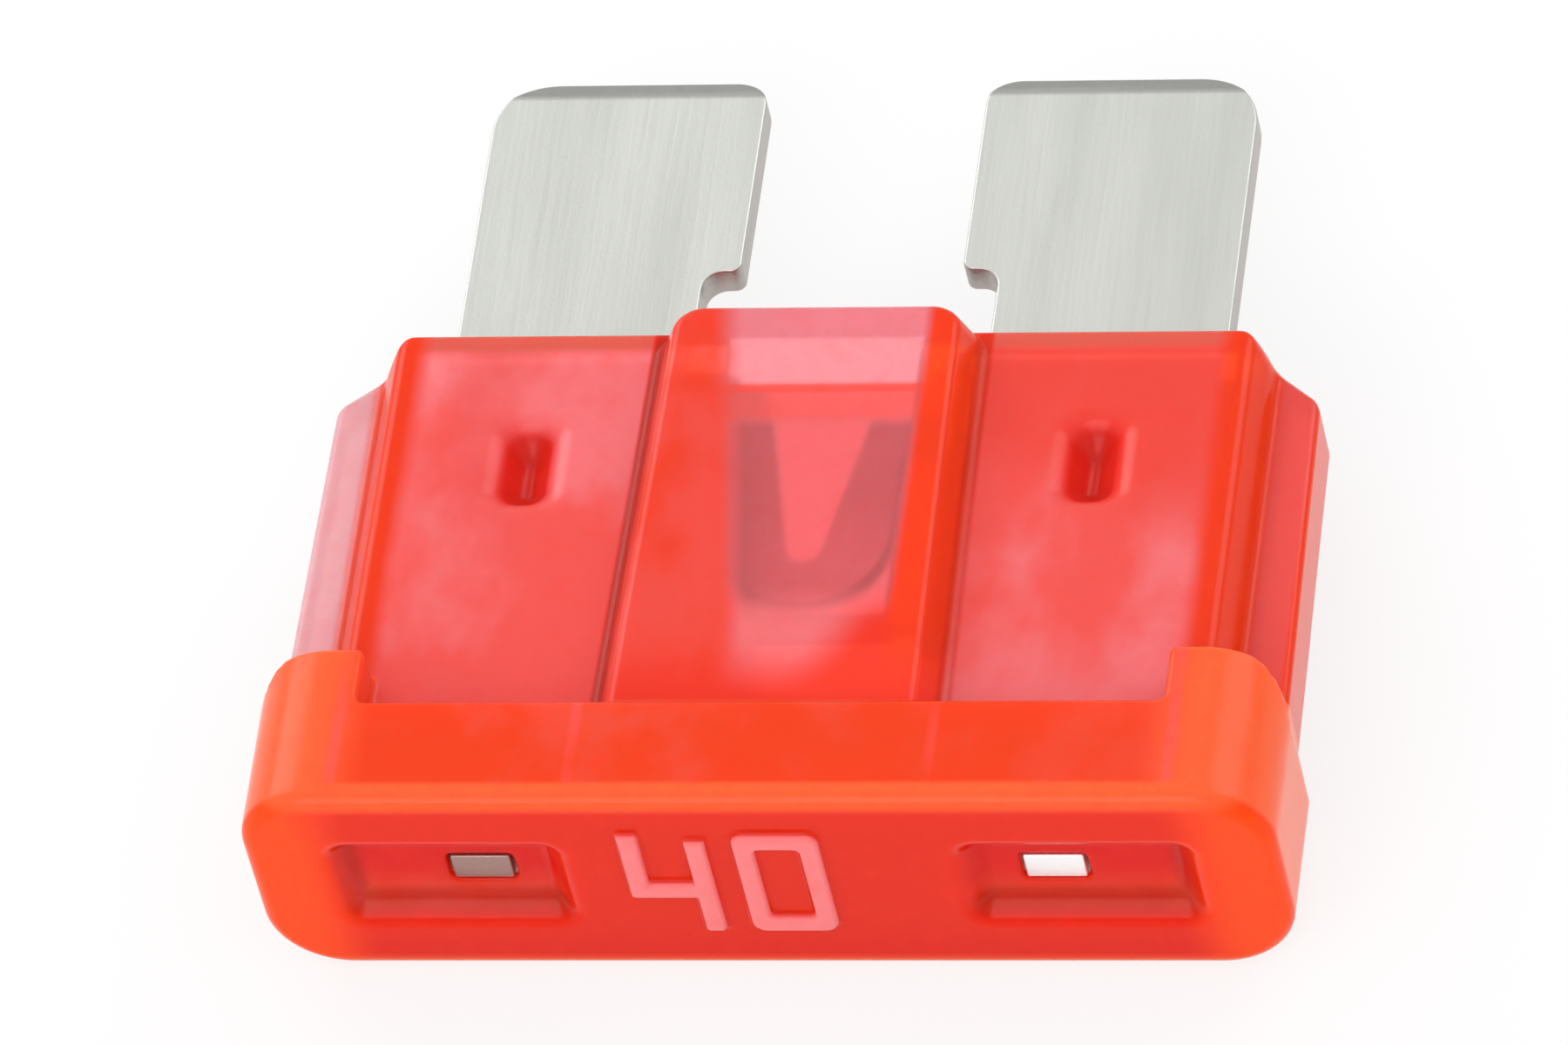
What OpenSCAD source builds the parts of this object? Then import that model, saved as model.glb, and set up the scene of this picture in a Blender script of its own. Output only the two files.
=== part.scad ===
// Blade fuse: a moulded translucent housing around one stamped metal element.
// It lies on the broad face of its head, with the blades pointing along +Y.

/* [Head] */
// Width of the head, across both ears
head_w = 19.1; // [17:0.1:24]
// Thickness of the head
head_t = 5.1; // [4.8:0.1:8]
// Height of the head from its crown to the ledge
head_h = 2.3; // [1.8:0.1:3]
// Height of the ears from the crown
ear_h = 3.5; // [3.1:0.1:5]
// Width of each ear
ear_w = 2.1; // [1.3:0.05:2.5]
// Radius of the head's upright corners
head_corner_r = 1.5; // [0.6:0.1:2.2]
// Radius along the edges of the crown
crown_edge_r = 0.3; // [0.1:0.05:0.5]
// Radius of the ears' outer end corners
ear_corner_r = 0.9; // [0.3:0.1:1.2]

/* [Rating number] */
// Height of the numerals
digit_h = 2.85; // [1.6:0.05:3.6]
// Width of each numeral
digit_w = 1.6; // [1:0.05:1.9]
// Width of the strokes
digit_stroke = 0.38; // [0.2:0.02:0.5]
// Distance between the two numerals
digit_gap = 0.5; // [0.3:0.05:0.8]
// Distance from the housing's middle to the middle of the number
digit_shift = 0.65; // [0:0.05:1]
// Distance from the crown's middle line up to the middle of the number
digit_lift = 0.15; // [-0.3:0.05:0.3]
// Drop of the four's crossbar below its middle
digit_bar_drop = 0.22; // [0:0.02:0.4]
// Height of the numerals above the crown
digit_rise = 0.15; // [0.05:0.05:0.3]

/* [Body] */
// Length of the housing from the crown to its open end
housing_l = 11.5; // [10.5:0.1:13]
// Thickness over the side panels
panel_t = 3.1; // [2.4:0.1:4]
// Plastic outside the element's slot at each side
side_wall = 0.35; // [0.2:0.05:0.6]
// How far each side of the panels leans out from their faces to the flange
panel_lean = 0.45; // [0:0.05:0.6]
// Radius of the panels' end corners
panel_corner_r = 0.75; // [0.2:0.05:0.9]
// Thickness of the side flanges
flange_t = 1.55; // [1.2:0.05:2]
// Step from the head's end to the flange, beside the ear
flange_inset = 0.15; // [0.05:0.05:0.4]
// How much each flange narrows towards the open end
flange_draft = 0.15; // [0:0.05:0.3]
// Length of the slanted end of each flange
flange_slant = 0.95; // [0.5:0.05:1.5]
// Distance from the open end to that slanted end
flange_end_gap = 0.15; // [0.05:0.05:0.5]
// Radius of each flange's outer corner
flange_corner_r = 0.45; // [0.2:0.05:1]
// Thickness over the central bulge
bulge_t = 4.7; // [3.8:0.1:4.7]
// Width of the bulge at the head
bulge_w = 6.4; // [5.6:0.1:7]
// How much each side of the bulge narrows towards the open end
bulge_draft = 0.2; // [0:0.05:0.3]
// How far each side of the bulge leans in from the panel to its top
bulge_lean = 0.35; // [0:0.05:0.4]
// Radius of the bulge's end corners
bulge_corner_r = 0.6; // [0.2:0.05:0.9]

/* [Cavity] */
// Plastic between the crown and the element's slot
crown_wall = 1.1; // [0.8:0.1:1.6]
// Wall of the bulge beside the link chamber
bulge_wall = 0.8; // [0.5:0.05:1]
// Height of the link chamber
chamber_t = 1.5; // [1:0.05:2.4]
// Gap around the element in its slot
element_gap = 0.06; // [0.03:0.01:0.12]
// Gap around the link at the head end of its chamber
chamber_gap = 0.7; // [0.3:0.1:1.2]
// Length of each test slot in the crown
test_slot_w = 1.24; // [1:0.02:1.6]
// Depth of the shallow pocket around the test slots
pocket_d = 0.4; // [0.2:0.05:0.6]
// Width of the pocket, across the thickness of the head
pocket_t = 2; // [1.4:0.1:3]
// Length of the pocket along the crown
pocket_w = 4.05; // [2.4:0.05:4.2]

/* [Stakes] */
// Distance from the open end to the middle of a stake
stake_from_end = 3; // [2.2:0.1:4]
// Width of a stake's pit at the panel
stake_w = 1.3; // [1:0.05:1.6]
// Length of a stake's pit at the panel
stake_l = 1.9; // [1.6:0.05:2.4]
// Plastic left between the two pits of a stake
stake_web = 1; // [0.5:0.1:1.4]
// Width of the plastic through the plate's stake hole
stake_core_w = 1.1; // [0.8:0.05:1.4]
// Length of the plastic through the plate's stake hole
stake_core_l = 1.6; // [1.2:0.05:2]

/* [Element] */
// Distance from the crown to the blade tips
overall_l = 18.5; // [16.5:0.1:22]
// Thickness of the metal
metal_t = 0.65; // [0.5:0.05:0.9]
// Width of each blade
blade_w = 5.2; // [4.4:0.1:5.6]
// Distance over the outer edges of both blades
blade_span = 14.6; // [14.2:0.1:15.2]
// Radius of each blade's outer tip corner
tip_outer_r = 1.2; // [0.3:0.1:1.6]
// Radius of each blade's inner tip corner
tip_inner_r = 0.65; // [0.2:0.05:0.8]
// Length of the bevel on both faces of each blade's tip
tip_bevel_l = 0.4; // [0.2:0.05:0.8]
// Depth of that bevel
tip_bevel_d = 0.15; // [0.05:0.05:0.2]
// Length of each blade at its full width
full_width_l = 4.6; // [3:0.1:5]
// Step of the blade's inner edge beside the housing
neck_step = 0.7; // [0.6:0.05:0.9]
// Radius inside that step
neck_fillet_r = 0.4; // [0.1:0.05:0.4]
// Radius of the blade's corner at that step
neck_corner_r = 0.2; // [0.05:0.05:0.2]
// How far each plate reaches outside its blade
plate_over = 0.3; // [0.1:0.05:0.4]
// Distance from the open end to the plates' shoulders
plate_recess = 1.5; // [0.8:0.1:2]
// Distance from the middle to each plate's inner edge
plate_in = 3; // [2.6:0.05:3.3]
// How much narrower each plate is inside the head
plate_head_step = 0.8; // [0.4:0.05:1.2]
// Distance from the crown to that step
plate_head_l = 4.2; // [3:0.1:5]

/* [Fuse link] */
// Thickness of the link
link_t = 0.4; // [0.2:0.05:0.5]
// Width over the link's two legs
link_w = 3.2; // [2.8:0.05:3.4]
// Distance from the open end to the bottom of the link
link_l = 5.75; // [4.8:0.05:6.2]
// Metal at the bottom of the link
link_bottom = 1; // [0.6:0.05:1.4]
// Width of the link's opening between the tops of its legs
link_open_w = 2.2; // [1.4:0.05:2.3]
// Width of the link's opening at its round bottom
link_neck_w = 0.7; // [0.5:0.05:1]
// Width of the bridges from the legs to the plates
bridge_w = 0.9; // [0.5:0.05:1.2]

/* [Hidden] */
$fn = 64;
// How far a cutter runs past what it cuts
over = 1;
// Place of the model's middle and of its underside
mid_y = (overall_l - digit_rise) / 2;
mid_z = head_t / 2;
// Housing
ear_in = head_w / 2 - ear_w;
plate_out = blade_span / 2 + plate_over;
slot_half_w = plate_out + element_gap;
slot_t = metal_t + 2 * element_gap;
block_half_w = slot_half_w + side_wall;
base_half_w = block_half_w + panel_lean;
flange_half_w = head_w / 2 - flange_inset;
// Element
blade_out = blade_span / 2;
blade_in = blade_out - blade_w;
neck_in = blade_in + neck_step;
plate_mid = (plate_in + plate_out) / 2;
plate_head_in = plate_in + plate_head_step;
plate_head_y = crown_wall + element_gap;
plate_end_y = housing_l - plate_recess;
tab_w = test_slot_w - 2 * element_gap;
step_y = overall_l - full_width_l;
stake_y = housing_l - stake_from_end;
// Link
link_end_y = housing_l - link_l;
link_r = link_w / 2;
link_mid_y = link_end_y + link_r;
link_open_y = link_end_y + link_bottom;
link_neck_r = link_neck_w / 2;
link_neck_y = link_open_y + link_neck_r;
bridge_out = plate_in + bridge_w;
chamber_y = link_end_y - chamber_gap;
chamber_half_w = bulge_w / 2 - bulge_draft - bulge_lean - bulge_wall;

// What lies outside a corner arc of radius r, with the arc's centre at the origin
module corner_waste(r) {
    difference() {
        square(r + over);
        circle(r);
    }
}

// Copies for the left and the right side
module both_sides() {
    children();
    mirror([1, 0, 0]) children();
}

// A rectangle from one corner to the other
module rect(low, high) {
    translate(low) square(high - low);
}

// The head's profile over half of its span, with the crown's edge rounded, crown at y = 0
module crown_profile(half_span, height) {
    difference() {
        square([half_span, height]);
        translate([half_span - crown_edge_r, crown_edge_r])
            mirror([0, 1]) corner_waste(crown_edge_r);
    }
}

// What lies outside the four leaning faces of a bar with its length along +Y.
// Its sides are half_w from the middle at the head, come in by draft towards the open end,
// and lean in by lean from the thickness low_t to the thickness high_t.
module lean_waste(half_w, draft, lean, low_t, high_t) {
    run = housing_l - head_h / 2;
    both_sides()
        for (side = [0, 1])
            mirror([0, 0, side])
                translate([half_w, head_h / 2, low_t / 2])
                    rotate([0, 0, atan(draft / run)])
                        rotate([0, -atan(2 * lean / (high_t - low_t)), 0])
                            translate([0, -over, -over])
                                cube([half_w, run + 2 * over, high_t + over]);
}

// A slab with round upright corners and a rounded crown edge, its height along +Y
module crowned_slab(width, thickness, height) {
    core_x = width / 2 - head_corner_r;
    core_z = thickness / 2 - head_corner_r;
    both_sides() {
        // End faces
        linear_extrude(2 * core_z, center = true)
            crown_profile(width / 2, height);
        // Round corners
        for (side = [-1, 1])
            translate([core_x, 0, side * core_z])
                rotate([-90, 0, 0])
                    rotate_extrude()
                        crown_profile(head_corner_r, height);
    }
    // Broad faces
    rotate([90, 0, 90])
        linear_extrude(2 * core_x, center = true)
            for (side = [0, 1])
                mirror([0, side])
                    rotate(90) mirror([0, 1])
                        crown_profile(thickness / 2, height);
}

// The head with its ears
module head() {
    difference() {
        crowned_slab(head_w, head_t, ear_h);
        // Room between the ears
        translate([-ear_in, head_h, -head_t])
            cube([2 * ear_in, ear_h, 2 * head_t]);
        // Round ear ends
        both_sides()
            translate([head_w / 2 - ear_corner_r, ear_h - ear_corner_r, -head_t])
                linear_extrude(2 * head_t)
                    corner_waste(ear_corner_r);
    }
}

// The side panels, as one block with leaning sides
module panels() {
    difference() {
        linear_extrude(panel_t, center = true)
            difference() {
                rect([-base_half_w, head_h / 2], [base_half_w, housing_l]);
                both_sides()
                    translate([base_half_w, housing_l] - panel_corner_r * [1, 1])
                        corner_waste(panel_corner_r);
            }
        lean_waste(base_half_w, 0, panel_lean, flange_t, panel_t);
    }
}

// The thin flanges along both sides
module flanges() {
    end_y = housing_l - flange_end_gap;
    root = [flange_half_w, head_h / 2];
    corner = [flange_half_w - flange_draft, end_y - flange_slant];
    tip = [base_half_w - panel_corner_r / 2, end_y];
    along_side = (root - corner) / norm(root - corner);
    along_slant = (tip - corner) / norm(tip - corner);
    half_angle = acos(along_side * along_slant) / 2;
    tangent_l = flange_corner_r / tan(half_angle);
    bisector = (along_side + along_slant) / norm(along_side + along_slant);
    linear_extrude(flange_t, center = true)
        both_sides() {
            polygon([
                [block_half_w, head_h / 2],
                root,
                corner + tangent_l * along_side,
                corner + tangent_l * along_slant,
                tip,
                [block_half_w - panel_corner_r, end_y]
            ]);
            translate(corner + flange_corner_r / sin(half_angle) * bisector)
                circle(flange_corner_r);
        }
}

// The bulge over the link
module bulge() {
    end_half_w = bulge_w / 2 - bulge_draft;
    difference() {
        linear_extrude(bulge_t, center = true)
            difference() {
                rect([-bulge_w / 2, head_h / 2], [bulge_w / 2, housing_l]);
                both_sides()
                    translate([end_half_w, housing_l] - bulge_corner_r * [1, 1])
                        corner_waste(bulge_corner_r);
            }
        lean_waste(bulge_w / 2, bulge_draft, bulge_lean, panel_t, bulge_t);
    }
}

// The slot for the element and the chamber for its link, open at the blade end
module cavity() {
    linear_extrude(slot_t, center = true) {
        rect([-slot_half_w, chamber_y], [slot_half_w, housing_l + over]);
        both_sides() {
            rect([plate_in - element_gap, plate_head_l - element_gap], [slot_half_w, housing_l]);
            rect([plate_head_in - element_gap, crown_wall], [slot_half_w, housing_l]);
        }
    }
    linear_extrude(chamber_t, center = true)
        rect([-chamber_half_w, chamber_y], [chamber_half_w, housing_l + over]);
}

// A test slot in its shallow pocket, on one side of the crown
module test_slot() {
    translate([plate_head_in, -over, -pocket_t / 2])
        cube([pocket_w, pocket_d + over, pocket_t]);
    translate([plate_mid - test_slot_w / 2, 0, -slot_t / 2])
        cube([test_slot_w, crown_wall + over, slot_t]);
}

// A wedge-shaped pit, pressed into the upper panel
module stake_pit() {
    pit_d = (panel_t - stake_web) / 2;
    translate([plate_mid, stake_y, panel_t / 2])
        intersection() {
            rotate([-90, 0, 0])
                linear_extrude(stake_l, center = true)
                    polygon([[-stake_w / 2, 0], [stake_w / 2, 0], [0, pit_d]]);
            rotate([90, 0, 90])
                linear_extrude(stake_w, center = true)
                    polygon([[-stake_l / 2, 0], [stake_l / 2, 0], [stake_l / 4, -pit_d], [-stake_l / 4, -pit_d]]);
        }
}

// The plastic of a stake, through the hole in its plate
module stake_core() {
    translate([plate_mid, stake_y, 0])
        cube([stake_core_w, stake_core_l, (slot_t + panel_t) / 2], center = true);
}

// The rating number, standing on the crown
module rating_number() {
    four_mid = -digit_shift - (digit_w + digit_gap) / 2;
    zero_mid = four_mid + digit_w + digit_gap;
    half_w = digit_w / 2;
    half_h = digit_h / 2;
    bar_low = -digit_bar_drop - digit_stroke / 2;
    rotate([90, 0, 0])
        linear_extrude(digit_rise) {
            translate([four_mid, digit_lift]) {
                rect([-half_w, bar_low], [-half_w + digit_stroke, half_h]);
                rect([-half_w, bar_low], [half_w, bar_low + digit_stroke]);
                rect([half_w - digit_stroke, -half_h], [half_w, half_h - digit_stroke / 2]);
            }
            translate([zero_mid, digit_lift])
                difference() {
                    square([digit_w, digit_h], center = true);
                    square([digit_w, digit_h] - 2 * digit_stroke * [1, 1], center = true);
                }
        }
}

// The moulded housing
module housing() {
    color("orangered", 0.7)
        translate([0, -mid_y, mid_z]) {
            difference() {
                union() {
                    difference() {
                        union() {
                            head();
                            panels();
                            flanges();
                            bulge();
                        }
                        cavity();
                    }
                    both_sides() stake_core();
                }
                both_sides() {
                    test_slot();
                    stake_pit();
                    mirror([0, 0, 1]) stake_pit();
                }
            }
            rating_number();
        }
}

// The outline of the right blade with its plate and test tab
module blade_outline() {
    difference() {
        union() {
            // Blade
            rect([blade_in, step_y], [blade_out, overall_l]);
            rect([neck_in, plate_end_y], [blade_out, step_y]);
            translate([neck_in, step_y] - neck_fillet_r * [1, 1])
                corner_waste(neck_fillet_r);
            // Plate
            rect([plate_in, plate_head_l], [plate_out, plate_end_y]);
            rect([plate_head_in, plate_head_y], [plate_out, plate_end_y]);
            // Test tab
            rect([plate_mid - tab_w / 2, pocket_d], [plate_mid + tab_w / 2, plate_end_y]);
        }
        // Round corners at the tip and at the step
        translate([blade_out, overall_l] - tip_outer_r * [1, 1])
            corner_waste(tip_outer_r);
        translate([blade_in + tip_inner_r, overall_l - tip_inner_r])
            mirror([1, 0]) corner_waste(tip_inner_r);
        translate([blade_in, step_y] + neck_corner_r * [1, 1])
            rotate(180) corner_waste(neck_corner_r);
        // Stake hole
        translate([plate_mid, stake_y])
            square([stake_core_w, stake_core_l] + 2 * element_gap * [1, 1], center = true);
    }
}

// What the bevel takes off the upper face of both tips
module tip_waste() {
    slope = tip_bevel_d / tip_bevel_l;
    face_z = metal_t / 2;
    rotate([90, 0, 90])
        linear_extrude(blade_span + over, center = true)
            polygon([
                [overall_l - tip_bevel_l, face_z],
                [overall_l + over, face_z - slope * (tip_bevel_l + over)],
                [overall_l + over, face_z + over],
                [overall_l - tip_bevel_l, face_z + over]
            ]);
}

// The outline of the U-shaped link with its bridges to the plates
module link_outline() {
    difference() {
        union() {
            translate([0, link_mid_y]) circle(link_r);
            rect([-link_r, link_mid_y], [link_r, plate_end_y]);
            rect([-bridge_out, plate_end_y - bridge_w], [bridge_out, plate_end_y]);
        }
        translate([0, link_neck_y]) circle(link_neck_r);
        polygon([
            [-link_neck_r, link_neck_y],
            [link_neck_r, link_neck_y],
            [link_open_w / 2, plate_end_y + over],
            [-link_open_w / 2, plate_end_y + over]
        ]);
    }
}

// The stamped metal element
module fuse_element() {
    color("silver")
        translate([0, -mid_y, mid_z]) {
            difference() {
                both_sides()
                    linear_extrude(metal_t, center = true)
                        blade_outline();
                tip_waste();
                mirror([0, 0, 1]) tip_waste();
            }
            linear_extrude(link_t, center = true)
                link_outline();
        }
}

housing();
fuse_element();
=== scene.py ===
"""Looks of the blade fuse: a translucent moulded housing around one stamped zinc element."""

import bpy
import numpy as np
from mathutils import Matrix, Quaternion, Vector


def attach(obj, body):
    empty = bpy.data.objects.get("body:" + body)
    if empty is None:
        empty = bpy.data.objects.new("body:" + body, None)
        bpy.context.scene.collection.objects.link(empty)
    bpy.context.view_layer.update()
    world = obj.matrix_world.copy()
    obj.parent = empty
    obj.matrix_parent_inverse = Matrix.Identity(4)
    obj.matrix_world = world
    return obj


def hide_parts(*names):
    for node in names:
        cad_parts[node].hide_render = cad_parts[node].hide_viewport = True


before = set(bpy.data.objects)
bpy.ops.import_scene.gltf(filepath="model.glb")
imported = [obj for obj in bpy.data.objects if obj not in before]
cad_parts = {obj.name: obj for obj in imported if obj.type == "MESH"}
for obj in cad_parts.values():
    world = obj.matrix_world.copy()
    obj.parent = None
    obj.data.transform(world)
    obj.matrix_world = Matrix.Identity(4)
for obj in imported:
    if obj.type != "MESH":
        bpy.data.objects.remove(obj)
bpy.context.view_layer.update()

MM = 0.001

# Sizes in millimetres, as in the solids. The crown is at y = 0 and the middle of the thickness at z = 0.
MID_Y = 9.175
MID_Z = 2.55
HEAD_X, HEAD_Z, HEAD_Y, HEAD_R, CROWN_R = 9.55, 2.55, 2.3, 1.5, 0.3
EAR_Y, EAR_IN, EAR_R = 3.5, 7.45, 0.9
BODY_ROOT, BODY_END = 1.15, 11.5
PANEL_Z, PANEL_X, PANEL_BASE_X, PANEL_R = 1.55, 8.01, 8.46, 0.75
FLANGE_Z, FLANGE_X, FLANGE_END_X, FLANGE_END_Y, FLANGE_SLANT = 0.775, 9.4, 9.25, 11.35, 0.95
BULGE_Z, BULGE_X, BULGE_DRAFT, BULGE_LEAN, BULGE_R = 2.35, 3.2, 0.2, 0.35, 0.5
SLOT_Z, SLOT_X, SLOT_Y = 0.385, 7.66, 1.1
PLATE_IN, PLATE_Y = 2.94, 4.14
PLATE_HEAD_IN = 3.74
CHAMBER_X, CHAMBER_Y, CHAMBER_Z = 1.85, 5.05, 0.75
SIDE_X = 5.3
POCKET_X0, POCKET_X1, POCKET_Y, POCKET_Z = 3.8, 7.85, 0.4, 1.0
TEST_HALF_W, TEST_OVERLAP = 0.62, 0.5
STAKE_Y, STAKE_HALF_W, STAKE_HALF_L, STAKE_DEPTH = 8.5, 0.65, 0.95, 1.05
CORE_HALF_W, CORE_HALF_L, CORE_Z = 0.55, 0.8, 0.9
DIGIT_H, DIGIT_W, DIGIT_STROKE, DIGIT_RISE, DIGIT_ROOT = 2.85, 1.6, 0.38, 0.15, 0.3
DIGIT_X, DIGIT_STEP, DIGIT_Z, DIGIT_DROP = -0.65, 2.1, 0.15, 0.22
TIP_Y, TIP_BEVEL = 18.5, 0.4

# Radii of the housing's edges and fillets
EDGE = 0.13
FILLET, FILLET_LEAST, FILLET_STOP, FILLET_FADE = 0.16, 0.05, 0.1, 0.4
ROOM_R = 0.15
PANEL_SIDE_R = 0.2
FLANGE_R = 0.16
SLOT_R = 0.08
PIT_BOTTOM_R, PIT_CORNER_R, PIT_R = 0.25, 0.3, 0.25
POCKET_CORNER_R, POCKET_R = 0.25, 0.36
TEST_R = 0.15
DIGIT_R, DIGIT_FILLET = 0.1, 0.06
ZERO_R, ZERO_HOLE_R, ZERO_EDGE_R = 0.25, 0.12, 0.02

# Edges of the element: their width and segments, the least angle of an edge, the gap between faces that is
# closed, and the most that flat faces may turn
ROLL_WIDTH, ROLL_SEGMENTS, ROLL_ANGLE = 0.05, 3, 0.9
JOIN_GAP, FLAT_ANGLE = 0.001, 0.02

# Mesh of the housing: the grid's step and margin, and the share of its faces that stay
GRID_STEP, GRID_MARGIN = 0.08, 0.25
KEPT_FACES = 0.4

# Camera, fitted to the photograph: where it stands, where it looks at, roll in degrees, lens and sensor
CAMERA_PLACE = (60.74, -171.63, 235.89)
CAMERA_AIM = (-0.6474, 8.246, 0.0)
CAMERA_ROLL = -15.198
CAMERA_LENS, CAMERA_SENSOR = 377.89, 36


def to_frame(points):
    """Points of the sizes above, in millimetres, to the frame of the solids, in metres."""
    return (points + (0, -MID_Y, MID_Z)) * MM


# Distance fields: below zero inside


def both(a, b, r):
    """What is inside a and b, its edge rounded by r."""
    return np.minimum(-r, np.maximum(a, b)) + np.hypot(np.maximum(a + r, 0), np.maximum(b + r, 0))


def either(a, b, r):
    """What is inside a or b, with a fillet of r where they meet."""
    return -both(-a, -b, r)


def without(a, b, r):
    """What is inside a and outside b, its edge rounded by r."""
    return both(a, -b, r)


def box(*sides):
    """The space inside all the planes."""
    out = sides[0]
    for side in sides[1:]:
        out = np.maximum(out, side)
    return out


def head_field(ax, y, az):
    qx, qz = ax - (HEAD_X - HEAD_R), az - (HEAD_Z - HEAD_R)
    outline = np.hypot(np.maximum(qx, 0), np.maximum(qz, 0)) + np.minimum(np.maximum(qx, qz), 0) - HEAD_R
    head = both(both(outline, -y, CROWN_R), y - EAR_Y, EDGE)
    head = np.maximum(head, both(ax - HEAD_X, y - EAR_Y, EAR_R))
    room = both(ax - EAR_IN, HEAD_Y - y, ROOM_R)
    return without(head, room, EDGE)


def panel_field(ax, y, az):
    outline = both(ax - PANEL_BASE_X, y - BODY_END, PANEL_R)
    rise, lean = PANEL_Z - FLANGE_Z, PANEL_BASE_X - PANEL_X
    side = ((ax - PANEL_BASE_X) * rise + (az - FLANGE_Z) * lean) / np.hypot(rise, lean)
    return np.maximum(both(both(outline, side, PANEL_SIDE_R), az - PANEL_Z, EDGE), BODY_ROOT - y)


def flange_field(ax, y, az):
    corner_y = FLANGE_END_Y - FLANGE_SLANT
    run, draft = corner_y - BODY_ROOT, FLANGE_X - FLANGE_END_X
    side = ((ax - FLANGE_X) * run + (y - BODY_ROOT) * draft) / np.hypot(run, draft)
    across = FLANGE_END_X - PANEL_BASE_X + PANEL_R / 2
    slant = (ax - FLANGE_END_X) * FLANGE_SLANT + (y - corner_y) * across
    slant = slant / np.hypot(FLANGE_SLANT, across)
    outline = np.maximum(both(side, slant, FLANGE_R), y - FLANGE_END_Y)
    return np.maximum(both(outline, az - FLANGE_Z, FLANGE_R), BODY_ROOT - y)


def bulge_field(ax, y, az):
    draft = BULGE_DRAFT / (BODY_END - BODY_ROOT)
    lean = BULGE_LEAN / (BULGE_Z - PANEL_Z)
    side = (ax - BULGE_X) + (y - BODY_ROOT) * draft + (az - PANEL_Z) * lean
    side = side / np.sqrt(1 + draft**2 + lean**2)
    return np.maximum(both(both(side, y - BODY_END, BULGE_R), az - BULGE_Z, EDGE), BODY_ROOT - y)


def number_field(x, y, z):
    def bar(x0, x1, z0, z1):
        return box(x0 - x, x - x1, z0 - z, z - z1)

    w, h, s = DIGIT_W / 2, DIGIT_H / 2, DIGIT_STROKE
    four, zero = DIGIT_X - DIGIT_STEP / 2, DIGIT_X + DIGIT_STEP / 2
    low = DIGIT_Z - DIGIT_DROP - s / 2
    strokes = bar(four - w, four - w + s, low, DIGIT_Z + h)
    strokes = np.minimum(strokes, bar(four - w, four + w, low, low + s))
    strokes = np.minimum(strokes, bar(four + w - s, four + w, DIGIT_Z - h, DIGIT_Z + h - s / 2))
    ring = both(np.abs(x - zero) - w, np.abs(z - DIGIT_Z) - h, ZERO_R)
    hole = both(np.abs(x - zero) - (w - s), np.abs(z - DIGIT_Z) - (h - s), ZERO_HOLE_R)
    strokes = np.minimum(strokes, without(ring, hole, ZERO_EDGE_R))
    return np.maximum(both(strokes, -DIGIT_RISE - y, DIGIT_R), y - DIGIT_ROOT)


def room_field(ax, y, az):
    """The slot for the element and the chamber for its link."""
    slot = np.minimum(box(ax - SLOT_X, CHAMBER_Y - y), box(PLATE_IN - ax, ax - SLOT_X, PLATE_Y - y))
    slot = np.minimum(slot, box(PLATE_HEAD_IN - ax, ax - SLOT_X, SLOT_Y - y))
    slot = np.maximum(slot, az - SLOT_Z)
    return np.minimum(slot, box(ax - CHAMBER_X, CHAMBER_Y - y, az - CHAMBER_Z))


def pit_field(side, y, az):
    """The pit over a stake, narrower towards its bottom."""
    share = (PANEL_Z - az) / STAKE_DEPTH
    across = np.hypot(side, PIT_BOTTOM_R) - STAKE_HALF_W * (1 - share)
    across = across / np.hypot(1, STAKE_HALF_W / STAKE_DEPTH)
    along = np.abs(y - STAKE_Y) - STAKE_HALF_L * (1 - share / 2)
    along = along / np.hypot(1, STAKE_HALF_L / STAKE_DEPTH / 2)
    return both(across, along, PIT_CORNER_R)


def housing_field(x, y, z):
    ax, az = np.abs(x), np.abs(z)
    side = np.abs(ax - SIDE_X)
    # The fillets end short of the open end, where the faces are flush
    fillet = FILLET * np.clip((BODY_END - FILLET_STOP - y) / FILLET_FADE, FILLET_LEAST, 1)
    body = either(panel_field(ax, y, az), flange_field(ax, y, az), fillet)
    body = either(body, bulge_field(ax, y, az), fillet)
    body = either(body, head_field(ax, y, az), fillet)
    body = without(body, room_field(ax, y, az), SLOT_R)
    # Stakes and their pits
    core = box(side - CORE_HALF_W, np.abs(y - STAKE_Y) - CORE_HALF_L, az - CORE_Z)
    body = without(np.minimum(body, core), pit_field(side, y, az), PIT_R)
    # Test slots in their pockets
    pocket = both(box(POCKET_X0 - ax, ax - POCKET_X1), az - POCKET_Z, POCKET_CORNER_R)
    body = without(body, both(pocket, y - POCKET_Y, POCKET_R), POCKET_R)
    test_slot = both(side - TEST_HALF_W, az - SLOT_Z, TEST_R)
    body = without(body, np.maximum(test_slot, y - SLOT_Y - TEST_OVERLAP), SLOT_R)
    return either(body, number_field(x, y, z), DIGIT_FILLET)


# Mesh of a field


def gradient(field, p, step=0.01):
    """The field and its slope at points."""
    slope = np.stack([
        field(*(p + e).T) - field(*(p - e).T)
        for e in np.eye(3) * step
    ], 1) / (2 * step)
    return field(*p.T), slope


def settle(field, p, rounds=3, reach=0.05, least_slope=0.2):
    """Moves points onto the field's surface, by up to reach a round, and returns them with their normals."""
    for _ in range(rounds):
        d, slope = gradient(field, p)
        step = np.clip(d / np.maximum((slope**2).sum(1), least_slope), -reach, reach)
        p = p - step[:, None] * slope
    slope = gradient(field, p)[1]
    return p, slope / np.maximum(np.linalg.norm(slope, axis=1, keepdims=True), 1e-6)


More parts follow.
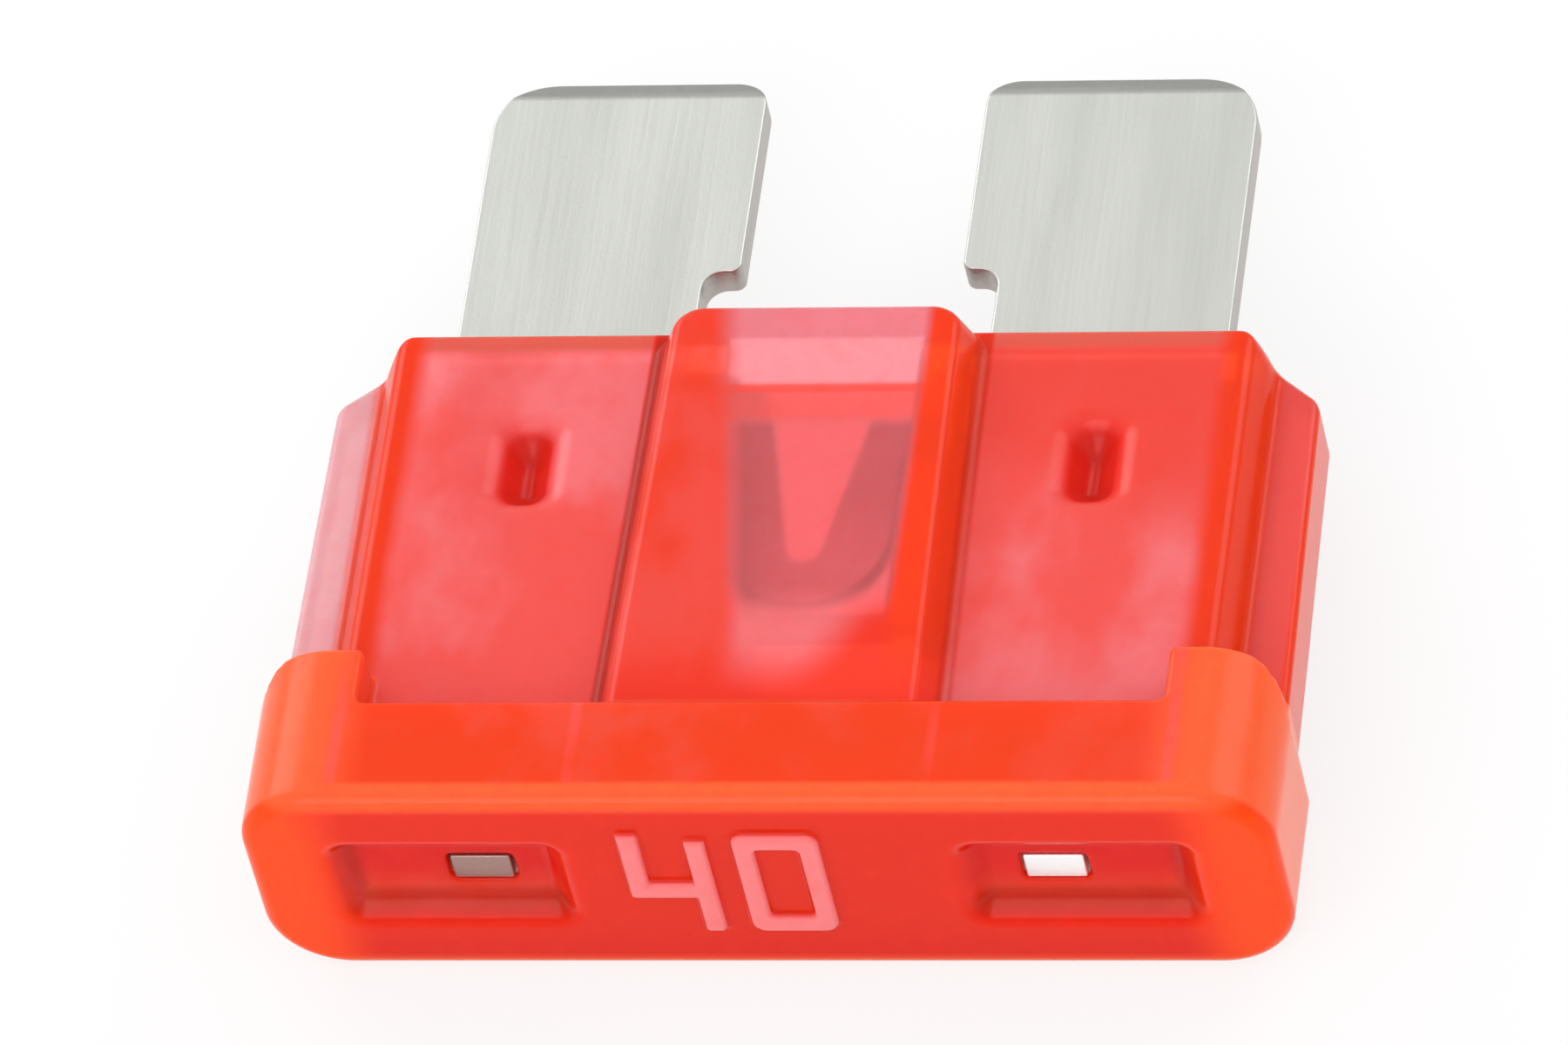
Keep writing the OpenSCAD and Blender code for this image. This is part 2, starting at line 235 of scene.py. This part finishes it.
def surface(field, low, high, step):
    """Quads around every place where the field changes sign on a grid, one vertex per cell."""
    axes = [np.arange(a, b, step) for a, b in zip(low, high)]
    d = field(*np.meshgrid(*axes, indexing="ij"))
    inside = d < 0
    n = np.array(d.shape) - 1
    units = np.eye(3, dtype=int)
    # Cells that the surface passes through, numbered
    corners = [(i, j, k) for i in (0, 1) for j in (0, 1) for k in (0, 1)]
    count = sum(inside[i:n[0] + i, j:n[1] + j, k:n[2] + k].astype(np.int8) for i, j, k in corners)
    cells = np.argwhere((count > 0) & (count < len(corners)))
    index = np.full(n, -1)
    index[tuple(cells.T)] = np.arange(len(cells))
    # A vertex in the middle of the crossings on the cell's edges
    total, hits = np.zeros(cells.shape), np.zeros(len(cells))
    for axis, end in enumerate(units):
        for corner in corners:
            if corner[axis] == 0:
                a = d[tuple((cells + corner).T)]
                b = d[tuple((cells + corner + end).T)]
                cut = (a < 0) != (b < 0)
                share = np.where(cut, a / np.where(cut, a - b, 1), 0)
                total += cut[:, None] * (np.array(corner) + share[:, None] * end)
                hits += cut
    points = np.array(low) + step * (cells + total / hits[:, None])
    # A quad across every edge of the grid that the surface cuts
    quads = []
    for axis in range(3):
        u, v = (axis + 1) % 3, (axis + 2) % 3
        eu, ev = units[u], units[v]
        lower = np.take(inside, range(n[axis]), axis)
        upper = np.take(inside, range(1, n[axis] + 1), axis)
        edges = np.argwhere(lower != upper)
        edges = edges[(edges[:, u] > 0) & (edges[:, v] > 0) & (edges[:, u] < n[u]) & (edges[:, v] < n[v])]
        ring = np.stack([index[tuple((edges - o).T)] for o in (eu + ev, ev, 0 * eu, eu)], 1)
        flip = ~lower[tuple(edges.T)]
        ring[flip] = ring[flip][:, ::-1]
        quads.append(ring)
    return points, np.concatenate(quads)


def mesh_of(name, points, quads):
    mesh = bpy.data.meshes.new(name)
    mesh.vertices.add(len(points))
    mesh.vertices.foreach_set("co", points.astype(np.float32).ravel())
    mesh.loops.add(quads.size)
    mesh.loops.foreach_set("vertex_index", quads.astype(np.int32).ravel())
    mesh.polygons.add(len(quads))
    mesh.polygons.foreach_set("loop_start", np.arange(0, quads.size, 4, dtype=np.int32))
    mesh.update(calc_edges=True)
    return mesh


def thinned(mesh, ratio):
    """A copy of the mesh with a share of its faces, fewest where it is flat."""
    rough = bpy.data.objects.new("rough", mesh)
    bpy.context.scene.collection.objects.link(rough)
    rough.modifiers.new("thin", "DECIMATE").ratio = ratio
    copy = bpy.data.meshes.new_from_object(rough.evaluated_get(bpy.context.evaluated_depsgraph_get()))
    bpy.data.objects.remove(rough)
    return copy


def make_housing():
    low = np.array((-HEAD_X, -DIGIT_RISE, -HEAD_Z)) - GRID_MARGIN
    high = np.array((HEAD_X, BODY_END, HEAD_Z)) + GRID_MARGIN
    points, quads = surface(housing_field, low, high, GRID_STEP)
    points, _ = settle(housing_field, points, rounds=2)
    shape = thinned(mesh_of("rough", points, quads), KEPT_FACES)
    co = np.zeros(len(shape.vertices) * 3, np.float32)
    shape.vertices.foreach_get("co", co)
    points, normals = settle(housing_field, co.reshape(-1, 3).astype(float))
    shape.vertices.foreach_set("co", to_frame(points).astype(np.float32).ravel())
    shape.polygons.foreach_set("use_smooth", np.ones(len(shape.polygons), bool))
    shape.update()
    shape.normals_split_custom_set_from_vertices(normals.tolist())
    shape.name = "housing_moulding"
    piece = bpy.data.objects.new("housing_moulding", shape)
    bpy.context.scene.collection.objects.link(piece)
    return piece


# Shader nodes


class Shade:
    """A number that varies over a surface, worked out by nodes."""

    def __init__(self, tree, socket):
        self.tree = tree
        self.socket = socket

    def math(self, operation, other=0.0):
        node = self.tree.nodes.new("ShaderNodeMath")
        node.operation = operation
        feed(node.inputs[0], self)
        feed(node.inputs[1], other)
        return Shade(self.tree, node.outputs[0])

    def __add__(self, other):
        return self.math("ADD", other)

    def __sub__(self, other):
        return self.math("SUBTRACT", other)

    def __mul__(self, other):
        return self.math("MULTIPLY", other)

    def __abs__(self):
        return self.math("ABSOLUTE")

    def or_else(self, other):
        """The larger of two."""
        return self.math("MAXIMUM", other)

    def at_most(self, other):
        """The smaller of two."""
        return self.math("MINIMUM", other)

    def rest(self):
        """What is left of 1."""
        return self * -1 + 1


def feed(slot, item):
    """Links a Shade to a socket, or sets the socket to a plain number."""
    if isinstance(item, Shade):
        item.tree.links.new(item.socket, slot)
    else:
        slot.default_value = item


def ramp(value, start, end):
    """0 at start, 1 at end, with soft ends."""
    node = value.tree.nodes.new("ShaderNodeMapRange")
    node.interpolation_type = "SMOOTHSTEP"
    feed(node.inputs["Value"], value)
    node.inputs["From Min"].default_value = start
    node.inputs["From Max"].default_value = end
    return Shade(value.tree, node.outputs["Result"])


def near(value, middle, outer, inner):
    """1 within inner of the middle, 0 past outer."""
    return ramp(abs(value - middle), outer, inner)


def scaled(tree, vector, scale, shift=(0, 0, 0)):
    node = tree.nodes.new("ShaderNodeVectorMath")
    node.operation = "MULTIPLY_ADD"
    tree.links.new(vector, node.inputs[0])
    node.inputs[1].default_value = scale
    node.inputs[2].default_value = shift
    return node.outputs[0]


def split(tree, vector):
    node = tree.nodes.new("ShaderNodeSeparateXYZ")
    tree.links.new(vector, node.inputs[0])
    return [Shade(tree, socket) for socket in node.outputs]


def noise(tree, place, grain):
    """Noise from 0 to 1, with its grain per millimetre along x, y and z."""
    node = tree.nodes.new("ShaderNodeTexNoise")
    tree.links.new(scaled(tree, place, grain), node.inputs["Vector"])
    node.inputs["Scale"].default_value = 1
    node.inputs["Detail"].default_value = 3
    return Shade(tree, node.outputs["Fac"])


def colour_slots(slots):
    return [slot for slot in slots if slot.type == "RGBA"]


def mixed(tree, share, a, b):
    """A colour between two, each a socket or a plain colour."""
    node = tree.nodes.new("ShaderNodeMix")
    node.data_type = "RGBA"
    feed(node.inputs["Factor"], share)
    for slot, colour in zip(colour_slots(node.inputs), (a, b)):
        if isinstance(colour, tuple):
            slot.default_value = (*colour, 1)
        else:
            tree.links.new(colour, slot)
    return colour_slots(node.outputs)[0]


def new_material(name):
    """A material with one shader, and the places on the surface in the sizes' own frame."""
    material = bpy.data.materials.new(name)
    material.use_nodes = True
    tree = material.node_tree
    place = tree.nodes.new("ShaderNodeTexCoord").outputs["Object"]
    place = scaled(tree, place, (1 / MM,) * 3, (0, MID_Y, -MID_Z))
    return material, tree, tree.nodes["Principled BSDF"], place


def set_bump(tree, shader, height, depth):
    """Raises the surface by height, a Shade around 0 to 1, times depth in millimetres."""
    node = tree.nodes.new("ShaderNodeBump")
    feed(node.inputs["Height"], height)
    node.inputs["Distance"].default_value = depth * MM
    tree.links.new(node.outputs[0], shader.inputs["Normal"])


NOISE_MIDDLE = 0.5

# Plastic

# Tints, as linear colours
PINK = (1.0, 0.28, 0.33)
PALE = (1.0, 0.5, 0.54)
SALMON = (1.0, 0.105, 0.09)
BLUSH = (1.0, 0.2, 0.215)
MAUVE = (0.8, 0.12, 0.12)
SHADED_SCARLET = (1.0, 0.07, 0.045)
RIM_SHADE = (0.73, 0.126, 0.087)
RED = (1.0, 0.034, 0.01)
ORANGE = (0.93, 0.044, 0.0)
HEAD = (0.8, 0.05, 0.005)
HEAD_PALE = (0.78, 0.09, 0.055)
GLOW = (0.97, 0.13, 0.035)
AMBER = (1.0, 0.07, 0.0)
CROWN_SHADE = (0.76, 0.018, 0.0)
PIT_SHADE = (0.7, 0.02, 0.012)
DEEP_SHADE = (0.72, 0.004, 0.0)
FROST = (1.0, 0.23, 0.24)
CREASE_SHADE = (0.5, 0.012, 0.004)
HAZE = (1.0, 0.22, 0.245)
DUSK = (1.0, 0.14, 0.13)
INSIDE = (1.0, 0.45, 0.44)

# How clear a part of the plastic is, from 0 to 1
SOLID, FAINT, HAZY, MILKY, DIM, VEILED, SEEN, OPEN = 0.0, 0.15, 0.2, 0.3, 0.35, 0.45, 0.7, 1.0

# Grain of the noises, per millimetre
CLOUD_GRAIN = (0.5, 0.3, 0.5)
HEAD_GRAIN = (0.6, 0.45, 0.6)
MOTTLE_GRAIN = (1.6, 1.6, 1.6)

# Roughness of the plain plastic, and what the mottle, the dull hollows and the number add
ROUGH, ROUGH_MOTTLE, ROUGH_DULL, ROUGH_NUMBER = 0.19, 0.1, 0.03, 0.3

# Pale clouds of the panels: the place along them where both sides have as much, and the change per millimetre
CLOUD_Y, CLOUD_DRIFT = 7, 0.045

# The window: the soft edges of its sides, the left one leaning, and where its bands begin
WINDOW_LEFT, WINDOW_LEAN, WINDOW_LEAN_Y = (-1.9, -1.1), 0.118, 9.5
WINDOW_RIGHT = (2.3, 2.0)
WINDOW_HAZE, WINDOW_DUSK, WINDOW_LINE, WINDOW_BAND, WINDOW_END = 4.1, 8.6, 9.55, 9.6, 10.5


class Paint:
    """The tint and the clearness of the plastic, in layers: each one covers its share of those before it."""

    def __init__(self, tree, place):
        self.tree = tree
        self.x, self.y, self.z = split(tree, place)
        self.ax, self.az = abs(self.x), abs(self.z)
        self.left, self.right = ramp(self.x, 0.5, -0.5), ramp(self.x, -0.5, 0.5)
        self.cloud = noise(tree, place, CLOUD_GRAIN)
        self.head_cloud = noise(tree, place, HEAD_GRAIN)
        self.colour = SALMON
        self.clear = FAINT

    def lay(self, share, tint, clear):
        self.colour = mixed(self.tree, share, self.colour, tint)
        self.clear = share * clear + share.rest() * self.clear


def paint_panels(p):
    """Panels, painted shade on their rims at the open end and in the pits of the stakes. Returns the pits."""
    # Pale clouds, towards the open end on the left and towards the head on the right: random in part, and in
    # part painted light and shade that differs from side to side
    p.lay(ramp((p.left - p.right) * (p.y - CLOUD_Y) * CLOUD_DRIFT + p.cloud, 0.42, 0.7), BLUSH, FAINT)
    # A mauve patch in the left panel, and a scarlet corner in the right one, painted shade on that side
    p.lay(p.left * near(p.ax, 6, 1.2, 0.2) * ramp(p.cloud, 0.65, 0.35) * 0.6, MAUVE, HAZY)
    p.lay(p.right * ramp(p.x * 0.4 + p.y, 9, 11) * 0.8, SHADED_SCARLET, HAZY)
    # Painted shade along the rim at the open end
    p.lay(ramp(p.y, BODY_END - 0.55, BODY_END - 0.3), RIM_SHADE, FAINT)
    # Painted shade in the pits over the stakes
    pit = near(p.ax, SIDE_X, STAKE_HALF_W + 0.3, STAKE_HALF_W - 0.15)
    pit = pit * near(p.y, STAKE_Y, STAKE_HALF_L + 0.35, STAKE_HALF_L - 0.15)
    pit = pit * ramp(p.az, PANEL_Z + 0.03, PANEL_Z - 0.35)
    p.lay(pit, PIT_SHADE, SOLID)
    return pit


def paint_window(p, window):
    """The window over the chamber: solid towards the head, and paler at the open end."""
    # A pale patch on the left, below the link
    patch = ramp(p.y, 2.4, 4.0) * ramp(p.y * -0.5 + p.x, -0.1, -1.3)
    p.lay(window * patch, BLUSH, HAZY)
    # The haze begins later towards the left
    begin = (p.x + 0.5).at_most(0) * 0.8 + p.y
    p.lay(window * ramp(begin, WINDOW_HAZE, WINDOW_HAZE + 1), HAZE, SEEN)
    p.lay(window * ramp(p.y, WINDOW_DUSK, WINDOW_DUSK + 0.4), DUSK, DIM)
    p.lay(window * near(p.y, WINDOW_LINE, 0.14, 0.05) * 0.5, RED, HAZY)
    p.lay(window * ramp(p.y, WINDOW_BAND, WINDOW_BAND + 0.15), PINK, VEILED)
    p.lay(window * ramp(p.y, WINDOW_END, WINDOW_END + 0.3), PINK, MILKY)
    # The underside lets the light from the floor in
    p.lay(window * ramp(p.y, 4.3, 6.0) * ramp(p.z, 0, -0.1), HAZE, OPEN)


def paint_bulge(p):
    """Bulge: the window, orange walls beside it and painted shade in the crease at its foot. Returns the
    crease.
    """
    on_bulge = ramp(p.ax, BULGE_X + 0.05, BULGE_X - 0.1)
    window = ramp((p.y - WINDOW_LEAN_Y) * WINDOW_LEAN + p.x, *WINDOW_LEFT) * ramp(p.x, *WINDOW_RIGHT)
    p.lay(on_bulge, RED, HAZY)
    paint_window(p, window)
    wall = on_bulge * window.rest() * ramp(p.y, 2.2, 4.5)
    p.lay(wall, ORANGE, HAZY)
    # Paler clouds on the left wall only: random in part, and in part painted light on the left side
    p.lay(wall * p.left * ramp(p.cloud, 0.3, 0.6) * 0.7, SALMON, HAZY)
    # Painted shade in the crease at the bulge's foot, full on the left and half on the right
    foot = near(p.y * (BULGE_DRAFT / (BODY_END - BODY_ROOT)) + p.ax, BULGE_X + 0.06, 0.2, 0.08)
    foot = foot * ramp(p.az, PANEL_Z + 0.3, PANEL_Z + 0.1) * ramp(p.az, PANEL_Z - 0.25, PANEL_Z - 0.15)
    foot = foot * ramp(p.y, HEAD_Y - 0.1, HEAD_Y)
    p.lay(foot * (p.left * 0.5 + 0.5), CREASE_SHADE, SOLID)
    return foot


def paint_flanges(p):
    """Sides of the panels, and the flanges: pale on the left, and redder on the right as painted shade."""
    p.lay(ramp(p.ax, PANEL_X - 0.71, PANEL_X - 0.26), ORANGE, HAZY)
    flange = ramp(p.ax, PANEL_BASE_X - 0.06, PANEL_BASE_X + 0.19)
    flange = flange * ramp(p.az, FLANGE_Z + 0.225, FLANGE_Z + 0.075)
    p.lay(flange * p.left, PALE, MILKY)
    # Painted shade: the right flange redder, and orange at its outer side, for the shadow under the body seen
    # through it
    p.lay(flange * p.right, SALMON, MILKY)
    p.lay(ramp(p.ax, FLANGE_END_X - 0.1, FLANGE_END_X) * p.right, ORANGE, HAZY)


def paint_head(p):
    """Head with its ears, paler at the ends and along the lines where the body begins."""
    ear = ramp(p.ax, EAR_IN - 0.1, EAR_IN) * ramp(p.y, EAR_Y + 0.08, EAR_Y)
    head = ramp(p.y, HEAD_Y + 0.2, HEAD_Y).or_else(ear)
    p.lay(head, HEAD, SOLID)
    # Pale clouds on the head: random, and stronger on the left as painted light
    p.lay(head * ramp(p.head_cloud, 0.4, 0.65) * (p.left * 0.3 + 0.35), HEAD_PALE, SOLID)
    p.lay(head * ramp(p.ax, EAR_IN - 0.45, EAR_IN + 0.75), GLOW, SOLID)
    seam = near(p.ax, BULGE_X + 0.1, 0.14, 0.04).or_else(near(p.ax, EAR_IN + 0.25, 0.16, 0.04))
    p.lay(head * seam * ramp(p.cloud, 0.35, 0.6) * 0.7, SALMON, SOLID)


def paint_crown(p):
    """Crown with its pockets and the raised number, with painted shade and a painted highlight. Returns the
    pockets and the number.
    """
    crown = ramp(p.y, CROWN_R + 0.02, CROWN_R - 0.2)
    # The front face painted darker than the top, as painted shade
    p.lay(crown, CROWN_SHADE, SOLID)
    # Painted shade towards the underside, amber at the ends, and a painted highlight, pale, along the edges
    p.lay(crown * ramp(p.z, -0.8, -2.2) * 0.5, DEEP_SHADE, SOLID)
    p.lay(crown * ramp(p.ax, 7.4, 8.7), AMBER, SOLID)
    p.lay(ramp(p.y, CROWN_R + 0.2, CROWN_R + 0.05) * ramp(p.az, HEAD_Z - 0.45, HEAD_Z - 0.15), GLOW, SOLID)
    # Painted shade in the pockets, darkest towards their top edge, and darker at their lower and outer rims
    pocket = ramp(p.ax, POCKET_X0 - 0.25, POCKET_X0 + 0.1) * ramp(p.ax, POCKET_X1 + 0.3, POCKET_X1 - 0.2)
    pocket = pocket * ramp(p.az, POCKET_Z + 0.25, POCKET_Z - 0.1)
    pocket = pocket * ramp(p.y, -0.02, 0.15) * ramp(p.y, SLOT_Y + 0.2, SLOT_Y - 0.1)
    p.lay(pocket * ramp(p.z, -1.3, 0.2), DEEP_SHADE, SOLID)
    rim = ramp(p.z, -0.45, -0.75).or_else(ramp(p.ax, POCKET_X1 - 0.5, POCKET_X1 - 0.2))
    p.lay(pocket * rim * 0.6, CREASE_SHADE, SOLID)
    number = ramp(p.y, -0.02, -0.08)
    p.lay(number, FROST, SOLID)
    return pocket, number


def paint_inside(p):
    """Walls of the slot and the chamber: clear, apart from the chamber's sides."""
    slot = ramp(p.az, SLOT_Z + 0.085, SLOT_Z + 0.045) * ramp(p.ax, SLOT_X + 0.14, SLOT_X + 0.06)
    chamber = ramp(p.az, CHAMBER_Z + 0.08, CHAMBER_Z + 0.04)
    chamber = chamber * ramp(p.ax, CHAMBER_X + 0.08, CHAMBER_X + 0.04)
    within = ramp(p.y, POCKET_Y + 0.1, POCKET_Y + 0.2) * ramp(p.y, BODY_END - 0.01, BODY_END - 0.06)
    p.lay(slot.or_else(chamber) * within, INSIDE, OPEN)
    wall = ramp(p.ax, CHAMBER_X - 0.07, CHAMBER_X - 0.02)
    wall = wall.or_else(ramp(p.y, CHAMBER_Y + 0.08, CHAMBER_Y + 0.03))
    wall = wall * ramp(p.az, SLOT_Z - 0.025, SLOT_Z + 0.035)
    wall = wall * ramp(p.y, CHAMBER_Y - 0.1, CHAMBER_Y - 0.05) * ramp(p.y, BODY_END - 0.2, BODY_END - 0.4)
    p.lay(chamber * wall, BLUSH, MILKY)


def plastic():
    """Translucent plastic: thin walls over light are pale and clear, thick ones orange and hazy."""
    material, tree, shader, place = new_material("translucent_plastic")
    p = Paint(tree, place)
    pit = paint_panels(p)
    foot = paint_bulge(p)
    paint_flanges(p)
    paint_head(p)
    pocket, number = paint_crown(p)
    paint_inside(p)
    mottle = noise(tree, place, MOTTLE_GRAIN) - NOISE_MIDDLE
    colour = mixed(tree, abs(mottle) * 0.5, p.colour, RED)
    tree.links.new(colour, shader.inputs["Base Color"])
    feed(shader.inputs["Transmission Weight"], p.clear)
    dull = foot.or_else(pocket).or_else(pit)
    rough = number * ROUGH_NUMBER + dull * ROUGH_DULL + (mottle * ROUGH_MOTTLE + ROUGH)
    feed(shader.inputs["Roughness"], rough)
    shader.inputs["IOR"].default_value = 1.42
    shader.inputs["Specular IOR Level"].default_value = 0.22
    shader.inputs["Subsurface Weight"].default_value = 1
    shader.inputs["Subsurface Radius"].default_value = (1, 0.25, 0.15)
    shader.inputs["Subsurface Scale"].default_value = 0.7 * MM
    return material


# Metal

# Tints, as linear colours
ROLLED_DARK, ROLLED_LIGHT = (0.53, 0.54, 0.505), (0.77, 0.78, 0.74)
STREAK = (0.5, 0.5, 0.47)
TORN_AND_SHADED = (0.42, 0.38, 0.35)
LINK_FACE, LINK_SIDE_HIGHLIGHT = (0.92, 0.88, 1.0), (0.95, 0.93, 0.93)
TAB_SHADE, TAB_REFLECTION = (0.4, 0.26, 0.23), (0.97, 0.97, 0.96)
TIP_SHADE = (0.36, 0.36, 0.34)

# Grain of the noises, per millimetre; the first two are drawn out along the blades
STREAK_GRAIN = (9, 0.3, 9)
BROAD_GRAIN = (0.7, 0.08, 0.7)
SPECK_GRAIN = (14, 14, 14)

# Roughness of the plain metal, what streaks and specks add, and the depth of both
METAL_ROUGH, METAL_ROUGH_STREAK, METAL_ROUGH_SPECK = 0.28, 0.2, 0.1
GRAIN_DEPTH = 0.01


def zinc():
    """Dull rolled metal: streaks along the blades, and darker sides where it was sheared, partly torn metal
    and partly painted shade.
    """
    material, tree, shader, place = new_material("zinc_alloy")
    up = split(tree, tree.nodes.new("ShaderNodeNewGeometry").outputs["Normal"])[2]
    x, y, _ = split(tree, place)
    sheared = ramp(abs(up), 0.7, 0.3)
    streak = noise(tree, place, STREAK_GRAIN)
    speck = noise(tree, place, SPECK_GRAIN)
    colour = mixed(tree, noise(tree, place, BROAD_GRAIN), ROLLED_DARK, ROLLED_LIGHT)
    colour = mixed(tree, abs(streak - NOISE_MIDDLE) * 0.8, colour, STREAK)
    link = ramp(abs(x), CHAMBER_X + 0.15, CHAMBER_X - 0.05) * ramp(y, BODY_END - 0.6, BODY_END - 0.8)
    colour = mixed(tree, link, colour, LINK_FACE)
    # Sheared sides darker and browner: partly torn metal, partly painted shade and reflection of the red
    # housing
    colour = mixed(tree, sheared * ramp(y, 1, 2) * 0.7, colour, TORN_AND_SHADED)
    # Painted highlight on the sheared sides of the link
    colour = mixed(tree, sheared * link, colour, LINK_SIDE_HIGHLIGHT)
    # Painted shade on the left tab's end, and a painted reflection on the right one
    tab = ramp(y, SLOT_Y + 0.5, SLOT_Y + 0.1)
    colour = mixed(tree, tab * ramp(x, 1, -1), colour, TAB_SHADE)
    colour = mixed(tree, tab * ramp(x, -1, 1), colour, TAB_REFLECTION)
    # Painted shade on the bevels at the blade tips
    bevel_y = TIP_Y - TIP_BEVEL
    colour = mixed(tree, ramp(y, bevel_y - 0.12, bevel_y) * 0.85, colour, TIP_SHADE)
    tree.links.new(colour, shader.inputs["Base Color"])
    shader.inputs["Metallic"].default_value = 1
    rough = streak * METAL_ROUGH_STREAK + (speck * METAL_ROUGH_SPECK + METAL_ROUGH)
    feed(shader.inputs["Roughness"], rough)
    set_bump(tree, shader, streak * 0.6 + speck * 0.4, GRAIN_DEPTH)
    return material


def roll_edges(piece):
    """Joins the faces of the stamping, which come apart, and rounds its edges."""
    joined = piece.modifiers.new("joined_faces", "WELD")
    joined.merge_threshold = JOIN_GAP * MM
    flat = piece.modifiers.new("flat_faces", "DECIMATE")
    flat.decimate_type = "DISSOLVE"
    flat.angle_limit = FLAT_ANGLE
    edge = piece.modifiers.new("rolled_edges", "BEVEL")
    edge.width = ROLL_WIDTH * MM
    edge.segments = ROLL_SEGMENTS
    edge.limit_method = "ANGLE"
    edge.angle_limit = ROLL_ANGLE
    piece.modifiers.new("even_normals", "WEIGHTED_NORMAL")


# Stage

# The floor's size in metres, its grey, and how much of it is plain white to the camera
FLOOR_SIZE, FLOOR_GREY, FLOOR_LIFT = 3, 0.9, 0.8

# Light of the surround, at the side and overhead
SKY_SIDE, SKY_TOP = 0.58, 0.98


def floor_white():
    """A pale floor with soft shadows, near white to the camera and in mirrors, white through the plastic."""
    material, tree, shader, _ = new_material("floor_white")
    tree.nodes.remove(shader)
    ground = tree.nodes.new("ShaderNodeBsdfDiffuse")
    ground.inputs["Color"].default_value = (FLOOR_GREY, FLOOR_GREY, FLOOR_GREY, 1)
    lift = tree.nodes.new("ShaderNodeEmission")
    path = tree.nodes.new("ShaderNodeLightPath").outputs
    seen = Shade(tree, path["Is Camera Ray"]).or_else(Shade(tree, path["Is Glossy Ray"])) * FLOOR_LIFT
    seen = seen.or_else(Shade(tree, path["Is Transmission Ray"]))
    mix = tree.nodes.new("ShaderNodeMixShader")
    feed(mix.inputs[0], seen)
    tree.links.new(ground.outputs[0], mix.inputs[1])
    tree.links.new(lift.outputs[0], mix.inputs[2])
    tree.links.new(mix.outputs[0], tree.nodes["Material Output"].inputs["Surface"])
    material.cycles.emission_sampling = "NONE"
    return material


def studio():
    """A white surround, brighter overhead."""
    world = bpy.data.worlds.new("studio")
    world.use_nodes = True
    sky = world.node_tree
    height = split(sky, sky.nodes.new("ShaderNodeTexCoord").outputs["Generated"])[2]
    feed(sky.nodes["Background"].inputs["Strength"], ramp(height, 0, 1) * (SKY_TOP - SKY_SIDE) + SKY_SIDE)
    sky.nodes["Background"].inputs["Color"].default_value = (1, 1, 1, 1)
    return world


def lamp(name, place, size, power):
    """A square lamp that shines at the origin, in metres and watts."""
    data = bpy.data.lights.new(name, "AREA")
    data.size = size
    data.energy = power
    thing = bpy.data.objects.new(name, data)
    thing.location = place
    thing.rotation_euler = (-thing.location).to_track_quat("-Z", "Y").to_euler()
    bpy.context.scene.collection.objects.link(thing)


def add_camera():
    camera = bpy.data.objects.new("camera", bpy.data.cameras.new("camera"))
    camera.data.sensor_width = CAMERA_SENSOR
    camera.data.lens = CAMERA_LENS
    place, aim = (Vector(to_frame(np.array(point))) for point in (CAMERA_PLACE, CAMERA_AIM))
    roll = Quaternion((0, 0, 1), np.radians(CAMERA_ROLL))
    camera.location = place
    camera.rotation_euler = ((aim - place).to_track_quat("-Z", "Y") @ roll).to_euler()
    bpy.context.scene.collection.objects.link(camera)
    bpy.context.scene.camera = camera


# Pieces

housing = make_housing()
housing.data.materials.clear()
housing.data.materials.append(plastic())
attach(housing, "root")
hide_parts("housing")

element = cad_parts["fuse_element"]
element.data.materials.clear()
element.data.materials.append(zinc())
roll_edges(element)

# Floor, light and camera

bpy.ops.mesh.primitive_plane_add(size=FLOOR_SIZE)
floor = bpy.context.object
floor.name = "floor"
floor.data.materials.append(floor_white())

bpy.context.scene.world = studio()
lamp("left", place=(-0.27, 0.24, 0.18), size=0.2, power=0.34)
lamp("right", place=(0.23, 0.24, 0.23), size=0.2, power=0.28)
lamp("front", place=(-0.08, -0.31, 0.235), size=0.25, power=0.45)
add_camera()
bpy.context.scene.view_settings.view_transform = "Standard"
